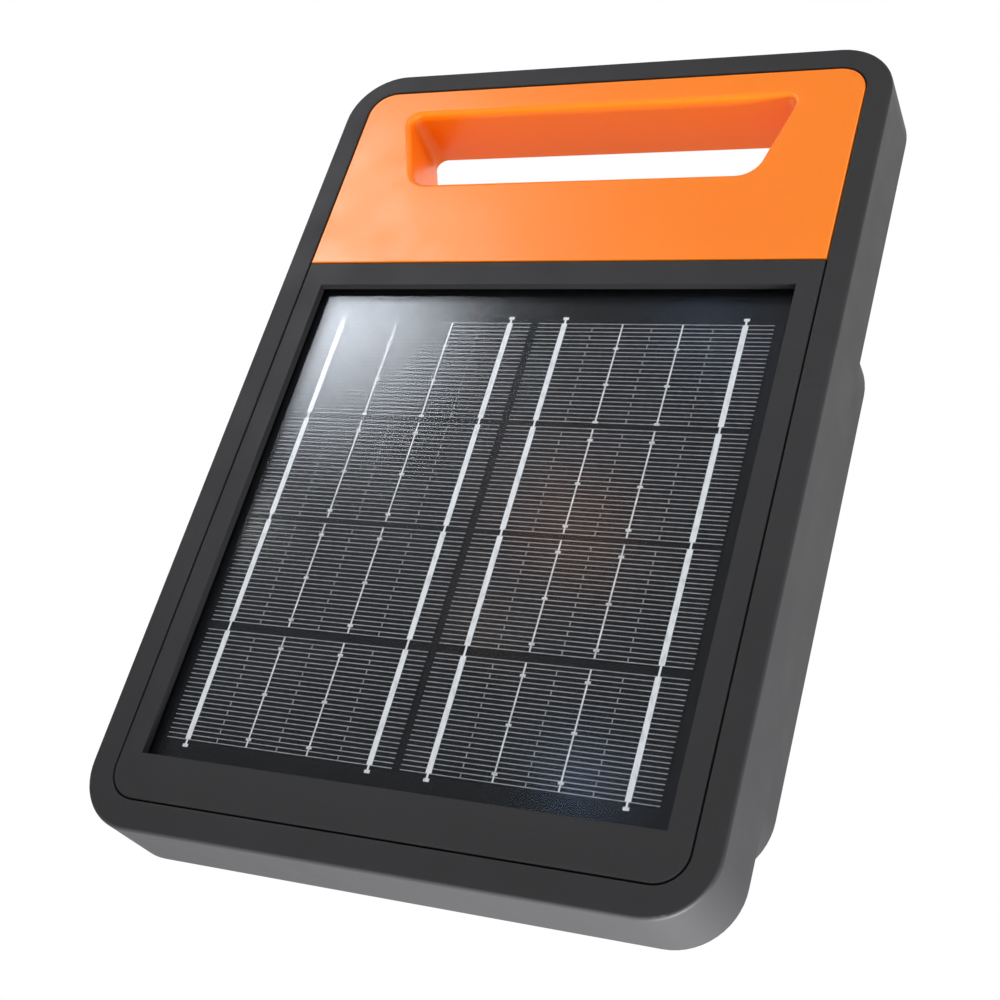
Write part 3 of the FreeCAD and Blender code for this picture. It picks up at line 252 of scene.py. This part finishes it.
def rubber(name, colour):
    """Matte rubber, foam or webbing with a fine grain."""
    made = Shader(name, colour, roughness=0.75)
    fine = made.noise(scale=1800, detail=3)
    made.colour_by(fine, low=shade(colour, 0.8), high=shade(colour, 1.2))
    made.bump_by(fine, strength=0.3, depth=0.03 * MM)
    return made.material


def silicon(name):
    """The dark wafer: nearly black, slightly blue, with a faint mottle."""
    dark, pale = (0.006, 0.006, 0.0066), (0.011, 0.011, 0.0125)
    made = Shader(name, pale, roughness=0.5, Specular_IOR_Level=0.06)
    made.colour_by(made.noise(scale=35, detail=3), low=dark, high=pale)
    made.roughness_by(made.noise(scale=150, detail=2), low=0.45, high=0.55)
    return made.material


def clear_glass(name):
    """Thin flat glass: what is behind it shows unbent, under a clear gloss that grows at a slant."""
    made = Shader(name)
    clear = made.node("ShaderNodeBsdfTransparent")
    clear.inputs["Color"].default_value = (0.93, 0.94, 0.95, 1)
    gloss = made.node("ShaderNodeBsdfGlossy")
    gloss.inputs["Color"].default_value = (0.92, 0.95, 1.0, 1)
    made.link(made.spread(made.noise(scale=9, detail=2), low=0.11, high=0.15), gloss.inputs["Roughness"])
    slant = made.node("ShaderNodeMath", operation="POWER")
    slant.inputs[1].default_value = GLASS_STEEPNESS
    made.link(made.node("ShaderNodeLayerWeight").outputs["Facing"], slant.inputs[0])
    share = made.node("ShaderNodeMapRange")
    share.inputs["To Min"].default_value = GLASS_SHINE
    made.link(slant.outputs["Value"], share.inputs["Value"])
    mix = made.node("ShaderNodeMixShader")
    made.link(share.outputs["Result"], mix.inputs["Fac"])
    made.link(clear.outputs["BSDF"], mix.inputs[1])
    made.link(gloss.outputs["BSDF"], mix.inputs[2])
    made.surface(mix.outputs["Shader"])
    made.tree.nodes.remove(made.main)
    return made.material


def lens_plastic(name):
    """The status light's milky lens."""
    made = Shader(name, (0.75, 0.85, 0.78), roughness=0.12, Transmission_Weight=0.6)
    made.roughness_by(made.noise(scale=400, detail=2), low=0.08, high=0.2)
    return made.material


def board(name):
    """Solder-masked board with a faint pattern of tracks."""
    dark, pale = (0.008, 0.09, 0.03), (0.02, 0.17, 0.06)
    made = Shader(name, pale, roughness=0.35)
    tracks = made.node("ShaderNodeTexVoronoi", feature="DISTANCE_TO_EDGE")
    tracks.inputs["Scale"].default_value = 220
    made.link(made.place, tracks.inputs["Vector"])
    distance = tracks.outputs["Distance"]
    made.colour_by(distance, low=dark, high=pale, at=(0.02, 0.09))
    made.bump_by(distance, strength=0.2, depth=0.03 * MM)
    return made.material


def silver_print(name, colour):
    """Fired silver paste: matte, a little uneven in strength."""
    made = Shader(name, colour, roughness=0.6)
    made.colour_by(made.noise(scale=500, detail=3), low=shade(colour, 0.8), high=shade(colour, 1.2))
    return made.material


def solder_ribbon_painted_highlight(name):
    """Bright solder-coated strip, slightly wavy and lighter where its waves stand higher. Its near-white matte
    colour is the solder's pale tone with a painted highlight in it, in place of the solder's gloss.
    """
    made = Shader(name, (0.95, 0.95, 0.96), roughness=0.42)
    waves = made.noise(scale=700, detail=3, stretch=(1, 1, 0.35))
    made.colour_by(waves, low=(0.78, 0.78, 0.8), high=(1.0, 1.0, 1.0), at=(0.3, 0.5))
    made.bump_by(waves, strength=0.5, depth=0.12 * MM)
    return made.material


MATERIALS = {
    "charcoal_plastic": plastic("charcoal_plastic", CHARCOAL, 0.58, Specular_IOR_Level=0.22),
    "orange_plastic": plastic(
        "orange_plastic", ORANGE, 0.33, grain=3000, depth=0.01 * MM, patch=0.02, Specular_IOR_Level=0.32
    ),
    "panel_glass": clear_glass("panel_glass"),
    "silicon": silicon("silicon"),
    # The ribbons' near-white matte colour carries a painted highlight.
    "tinned_copper": solder_ribbon_painted_highlight("tinned_copper"),
    "fine_print": silver_print("fine_print", (0.4, 0.4, 0.41)),
    "thick_print": silver_print("thick_print", (0.86, 0.86, 0.87)),
    "backsheet": plastic("backsheet", (0.01, 0.01, 0.011), 0.55, patch=0.1, Specular_IOR_Level=0.08),
    "foam_and_seal": rubber("foam_and_seal", (0.008, 0.008, 0.009)),
    "zinc_steel": metal("zinc_steel", (0.5, 0.51, 0.53), 0.48, stretch=(1, 1, 0.15)),
    "stainless": metal("stainless", (0.66, 0.66, 0.67), 0.26, stretch=(1, 1, 3)),
    "red_plastic": plastic("red_plastic", (0.52, 0.015, 0.012), 0.36),
    "green_plastic": plastic("green_plastic", (0.01, 0.2, 0.05), 0.36),
    "button_rubber": rubber("button_rubber", (0.02, 0.02, 0.021)),
    "black_component": plastic("black_component", (0.018, 0.018, 0.019), 0.5),
    "lens": lens_plastic("lens"),
    "board_green": board("board_green"),
    "connector_white": plastic("connector_white", (0.75, 0.73, 0.66), 0.42),
    "core_steel": metal("core_steel", (0.2, 0.2, 0.22), 0.5, stretch=(1, 9, 1)),
    "copper_wire": metal("copper_wire", (0.72, 0.28, 0.11), 0.32, stretch=(1, 1, 12)),
    "capacitor_case": plastic("capacitor_case", (0.62, 0.42, 0.05), 0.34),
    "heat_sink_metal": metal("heat_sink_metal", (0.62, 0.62, 0.64), 0.36, stretch=(1, 1, 6)),
    "battery_wrap": plastic("battery_wrap", (0.02, 0.12, 0.36), 0.28, grain=500),
    "strap": rubber("strap", (0.02, 0.02, 0.02)),
    "lead_insulation": plastic("lead_insulation", (0.42, 0.02, 0.015), 0.42),
}


def dress_nodes():
    """Gives every CAD node the material of its slot."""
    for part in frame["record"]["subparts"]:
        node = frame["nodes"][part["node"]]
        node.data.materials.clear()
        node.data.materials.append(MATERIALS[part["material_slot"]])


# ---------------------------------------------------------------- mesh helpers
def add_box(mesh, low, high):
    """Adds a box between two corners to a bmesh."""
    size = Vector(high) - Vector(low)
    middle = (Vector(high) + Vector(low)) / 2
    bmesh.ops.create_cube(mesh, size=1, matrix=Matrix.Translation(middle) @ Matrix.Diagonal((*size, 1)))


def as_object(mesh, name, material):
    """Turns a finished bmesh into an object of one material."""
    data = bpy.data.meshes.new(name)
    mesh.to_mesh(data)
    mesh.free()
    data.materials.append(material)
    made = bpy.data.objects.new(name, data)
    bpy.context.scene.collection.objects.link(made)
    return made


def as_piece(mesh, name, material):
    """Turns a finished bmesh into a piece of the housing."""
    piece = as_object(mesh, name, MATERIALS[material])
    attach(piece, BODY)
    return piece


def islands(mesh):
    """The vertices of a bmesh, in one list for each stretch that hangs together."""
    left = set(mesh.verts)
    found = []
    while left:
        group = [left.pop()]
        # The list grows while this loop walks it, until no neighbour is left.
        for vert in group:
            for edge in vert.link_edges:
                other = edge.other_vert(vert)
                if other in left:
                    left.remove(other)
                    group.append(other)
        found.append(group)
    return found


def corners(verts):
    """The low and high corners of the box round some vertices."""
    low = Vector([min(vert.co[i] for vert in verts) for i in range(3)])
    high = Vector([max(vert.co[i] for vert in verts) for i in range(3)])
    return low, high


# ---------------------------------------------------------------- solar cells' print and ribbons
def cell_columns():
    """Each wafer's (low, high) corners: the left column and the right one, both from the bottom up."""
    work = bmesh.new()
    work.from_mesh(frame["nodes"]["solar_cells"].data)
    bmesh.ops.remove_doubles(work, verts=work.verts, dist=WELD)
    cells = [corners(group) for group in islands(work)]
    work.free()
    left_end, right_end = (corner.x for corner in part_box("solar_cells"))
    columns = ([], [])
    for low, high in sorted(cells, key=lambda cell: cell[0].z):
        is_right = low.x + high.x > left_end + right_end
        columns[is_right].append((low, high))
    return columns


def print_fingers(mesh, low, high, pitch):
    """The thin lines across a cell, and the dashed lines up it between and beside its bars."""
    y = (low.y - FINGER_RISE, low.y + PRINT_SINK)
    gap = (high.z - low.z - 2 * CELL_EDGE) / (FINGERS - 1)
    heights = [low.z + CELL_EDGE + i * gap for i in range(FINGERS)]
    ends = (low.x + CELL_EDGE, high.x - CELL_EDGE)
    for z in heights:
        add_box(mesh, (ends[0], y[0], z - FINGER_W / 2), (ends[1], y[1], z + FINGER_W / 2))
    middle = (low.x + high.x) / 2
    for x in (middle - pitch, middle, middle + pitch):
        for z in heights[:-1:2]:
            add_box(mesh, (x - DASH_W / 2, y[0], z), (x + DASH_W / 2, y[1], z + gap))


def print_bars(mesh, low, high, pitch, pads):
    """The two narrow bars up a cell, between its wide ribbons, each with its solder pads."""
    y = (low.y - BAR_RISE, low.y + PRINT_SINK)
    ends = (low.z + CELL_EDGE, high.z - CELL_EDGE)
    middle = (low.x + high.x) / 2
    for x in (middle - pitch / 2, middle + pitch / 2):
        add_box(mesh, (x - BUSBAR_W / 2, y[0], ends[0]), (x + BUSBAR_W / 2, y[1], ends[1]))
        for share in pads:
            z = high.z - share * (high.z - low.z)
            add_box(mesh, (x - PAD_W / 2, y[0], z - PAD_H / 2), (x + PAD_W / 2, y[1], z + PAD_H / 2))


def cell_print(columns):
    """The silver print on all cells: one piece for the fingers and one for the bars."""
    fingers = bmesh.new()
    bars = bmesh.new()
    for column, pitch in zip(columns, RIBBON_PITCH):
        for low, high in column:
            is_top = low is column[-1][0]
            print_fingers(fingers, low, high, pitch)
            print_bars(bars, low, high, pitch, TOP_CELL_PADS if is_top else PADS)
    as_piece(fingers, "cell_fingers", "fine_print")
    as_piece(bars, "cell_bars", "thick_print")


def ribbon_strip(mesh, x, y, z, rng):
    """One bright strip up a cell: a closed row of facets, each a little off in width and depth."""
    steps = max(2, round((z[1] - z[0]) / RIBBON_STEP))
    rows = []
    for i in range(steps + 1):
        height = z[0] + (z[1] - z[0]) * i / steps
        half = RIBBON_W / 2 + rng.uniform(-RIBBON_WAVER, RIBBON_WAVER)
        crest = half * RIBBON_CREST
        dip = rng.uniform(0, RIBBON_DIP)
        outline = (
            (x - half, y[1]),
            (x - crest, y[0] + dip),
            (x + crest, y[0] + dip * RIBBON_TILT),
            (x + half, y[1]),
        )
        rows.append([mesh.verts.new((across, depth, height)) for across, depth in outline])
    for lower, upper in zip(rows, rows[1:]):
        for i in range(len(lower)):
            j = (i + 1) % len(lower)
            mesh.faces.new((lower[i], lower[j], upper[j], upper[i]))
    mesh.faces.new(rows[0])
    mesh.faces.new(list(reversed(rows[-1])))


def ribbon_joins(mesh, x, y, column):
    """The narrow necks that join a ribbon's strips and its end tabs, and the tabs."""
    bottom = column[0][0].z
    top = column[-1][1].z
    half = TAB_REACH / 2
    necks = [(top - RIBBON_NOTCH, top + half), (bottom - half, bottom + RIBBON_NOTCH)]
    for below, above in zip(column, column[1:]):
        necks.append((below[1].z - RIBBON_NOTCH, above[0].z + RIBBON_NOTCH))
    tabs = [(top + half, top + TAB_REACH), (bottom - TAB_REACH, bottom - half)]
    for width, spans in ((NECK_W, necks), (TAB_W, tabs)):
        for low, high in spans:
            add_box(mesh, (x - width / 2, y[0] + NECK_SINK, low), (x + width / 2, y[1], high))


def cell_ribbons(columns):
    """The two wide ribbons up each column, outside its cells' bars."""
    rng = random.Random(SEED)
    mesh = bmesh.new()
    y = [corner.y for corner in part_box("cell_ribbons")]
    for column, pitch in zip(columns, RIBBON_PITCH):
        middle = (column[0][0].x + column[0][1].x) / 2
        reach = RIBBON_FROM_MIDDLE * pitch
        for x in (middle - reach, middle + reach):
            for low, high in column:
                ribbon_strip(mesh, x, y, (low.z + RIBBON_NOTCH, high.z - RIBBON_NOTCH), rng)
            ribbon_joins(mesh, x, y, column)
    bmesh.ops.recalc_face_normals(mesh, faces=mesh.faces)
    piece = as_piece(mesh, "wavy_ribbons", "tinned_copper")
    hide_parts("cell_ribbons")


# ---------------------------------------------------------------- stage
def floor():
    """The pale floor, far below the object."""
    half = FLOOR_SIZE / 2
    z = CAD_BOX[0].z - FLOOR_DROP
    mesh = bmesh.new()
    mesh.faces.new([mesh.verts.new((x * half, y * half, z)) for x, y in ((-1, -1), (1, -1), (1, 1), (-1, 1))])
    as_object(mesh, "floor", Shader("pale_floor", FLOOR_COLOUR, STAGE_ROUGHNESS).material)


def glow(name, radius, strength, colour):
    """Light that fades from the middle of a card to its edge. The card itself is clear."""
    made = Shader(name, (0, 0, 0), STAGE_ROUGHNESS, Specular_IOR_Level=0, Emission_Color=(*colour, 1))
    size = made.node("ShaderNodeMapping")
    size.inputs["Scale"].default_value = (1 / radius,) * 3
    made.link(made.place, size.inputs["Vector"])
    ball = made.node("ShaderNodeTexGradient", gradient_type="SPHERICAL")
    made.link(size.outputs["Vector"], ball.inputs["Vector"])
    soft = made.node("ShaderNodeMapRange", interpolation_type="SMOOTHSTEP")
    soft.inputs["To Max"].default_value = strength
    made.link(ball.outputs["Fac"], soft.inputs["Value"])
    made.link(soft.outputs["Result"], made.main.inputs["Emission Strength"])
    both = made.node("ShaderNodeAddShader")
    made.link(made.main.outputs["BSDF"], both.inputs[0])
    made.link(made.node("ShaderNodeBsdfTransparent").outputs["BSDF"], both.inputs[1])
    made.surface(both.outputs["Shader"])
    return made.material


def glow_card(name, across, down, radius, strength, colour):
    """A soft round patch of light that the glass mirrors to the camera at that share of its own face."""
    low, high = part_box("panel_glass")
    place = Vector((low.x + across * (high.x - low.x), low.y, high.z - down * (high.z - low.z)))
    mirrored_camera = Vector((CAMERA_AT.x, 2 * low.y - CAMERA_AT.y, CAMERA_AT.z))
    way = (place - mirrored_camera).normalized()
    mesh = bmesh.new()
    bmesh.ops.create_circle(mesh, cap_ends=True, radius=radius, segments=CARD_SIDES)
    card = as_object(mesh, name, glow(name, radius, strength, colour))
    card.location = place + way * CARD_DISTANCE
    card.rotation_mode = "QUATERNION"
    card.rotation_quaternion = way.to_track_quat("Z", "Y")
    card.visible_camera = False
    card.visible_diffuse = False
    card.visible_shadow = False


def add_lamp(name, at, aim, diameter, watts):
    """A round lamp that shines from one point towards another."""
    data = bpy.data.lights.new(name, "AREA")
    data.shape = "DISK"
    data.size = diameter
    data.energy = watts
    made = bpy.data.objects.new(name, data)
    made.location = at
    made.rotation_mode = "QUATERNION"
    made.rotation_quaternion = (Vector(aim) - Vector(at)).to_track_quat("-Z", "Y")
    bpy.context.scene.collection.objects.link(made)


def world():
    """Soft white all round, dimmer in front of the object than behind it."""
    made = bpy.data.worlds.new("pale_world")
    made.use_nodes = True
    nodes, links = made.node_tree.nodes, made.node_tree.links
    sky = nodes["Background"]
    sky.inputs["Color"].default_value = (1, 1, 1, 1)
    way = nodes.new("ShaderNodeTexCoord")
    parts = nodes.new("ShaderNodeSeparateXYZ")
    fade = nodes.new("ShaderNodeMapRange")
    fade.interpolation_type = "SMOOTHSTEP"
    fade.inputs["From Min"].default_value = WORLD_FADE[0]
    fade.inputs["From Max"].default_value = WORLD_FADE[1]
    fade.inputs["To Min"].default_value = WORLD_FRONT
    fade.inputs["To Max"].default_value = WORLD_BACK
    links.new(way.outputs["Generated"], parts.inputs["Vector"])
    links.new(parts.outputs["Y"], fade.inputs["Value"])
    links.new(fade.outputs["Result"], sky.inputs["Strength"])
    bpy.context.scene.world = made


def camera():
    """The main view's camera, turned by its right and up directions."""
    data = bpy.data.cameras.new("camera")
    data.lens = CAMERA_LENS
    data.sensor_width = CAMERA_SENSOR
    data.clip_start = CAMERA_NEAR
    data.clip_end = CAMERA_FAR
    right = CAMERA_RIGHT.normalized()
    back = right.cross(CAMERA_UP).normalized()
    up = back.cross(right)
    made = bpy.data.objects.new("camera", data)
    turn = Matrix((right, up, back)).transposed().to_4x4()
    made.matrix_world = Matrix.Translation(CAMERA_AT) @ turn
    bpy.context.scene.collection.objects.link(made)
    bpy.context.scene.camera = made


dress_nodes()
wafers = cell_columns()
cell_print(wafers)
cell_ribbons(wafers)
floor()
for card_facts in CARDS:
    glow_card(*card_facts)
for lamp_facts in LAMPS:
    add_lamp(*lamp_facts)
world()
camera()
bpy.context.scene.view_settings.view_transform = "Standard"
